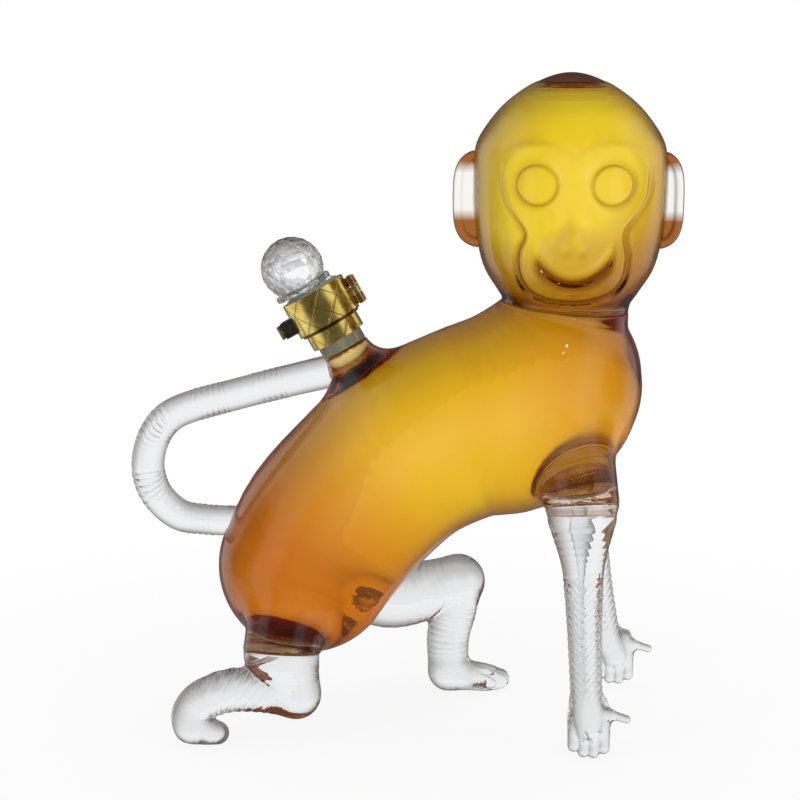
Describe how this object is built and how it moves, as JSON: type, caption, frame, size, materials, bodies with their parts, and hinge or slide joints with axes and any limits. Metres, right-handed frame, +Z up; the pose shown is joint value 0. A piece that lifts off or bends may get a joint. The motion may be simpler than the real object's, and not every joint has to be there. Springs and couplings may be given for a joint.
{
  "type": "figural liquor decanter",
  "caption": "Blown glass liquor decanter shaped as a monkey on all fours, with a hinged brass neck clamp and a crystal ball stopper.",
  "frame": {"origin": "centre of the bounding box, on the table", "axes": "+X the way the body points, -Y the side that the face looks at, +Z up"},
  "size_m": [0.2366, 0.1036, 0.2796],
  "materials": {
    "glass_body": "clear blown glass, fire polished",
    "glass_limbs": "clear solid glass with engraved strokes",
    "crystal": "clear cut crystal",
    "brass": "brushed and engraved",
    "latch_dark": "dark lacquer",
    "liner": "translucent silicone",
    "seal": "translucent silicone"
  },
  "bodies": {
    "decanter": {"torso_vessel": "glass_body", "head_vessel": "glass_body", "crown_seal": "glass_body", "ear_left": "glass_body", "ear_right": "glass_body", "arm_left": "glass_limbs", "arm_right": "glass_limbs", "leg_left": "glass_limbs", "leg_right": "glass_limbs", "tail_handle": "glass_limbs", "neck_tube": "glass_body", "collar_rear": "brass", "hinge_pin": "brass", "liner_rear": "liner", "latch_tongue": "latch_dark"},
    "clamp_gate": {"collar_front": "brass", "liner_front": "liner", "latch_box": "latch_dark"},
    "latch_press": {"latch_button": "brass"},
    "stopper": {"stopper_flange": "crystal", "stopper_ball": "crystal", "stopper_plug": "crystal", "stopper_rings": "seal", "stopper_gasket": "seal"}
  },
  "joints": [
    {"name": "clamp_swing", "type": "hinge", "parent": "decanter", "child": "clamp_gate", "pos_m": [-0.01975, 0, 0.18869], "axis": [-0.4939, 0, 0.8695], "range_deg": [0, 110]},
    {"name": "button_press", "type": "slide", "parent": "clamp_gate", "child": "latch_press", "axis": [0.8695, 0, 0.4939], "range_m": [0, 0.0008], "stiffness_N_per_m": 50},
    {"name": "stopper_lift", "type": "slide", "parent": "decanter", "child": "stopper", "axis": [-0.4939, 0, 0.8695], "range_m": [0, 0.045]}
  ]
}
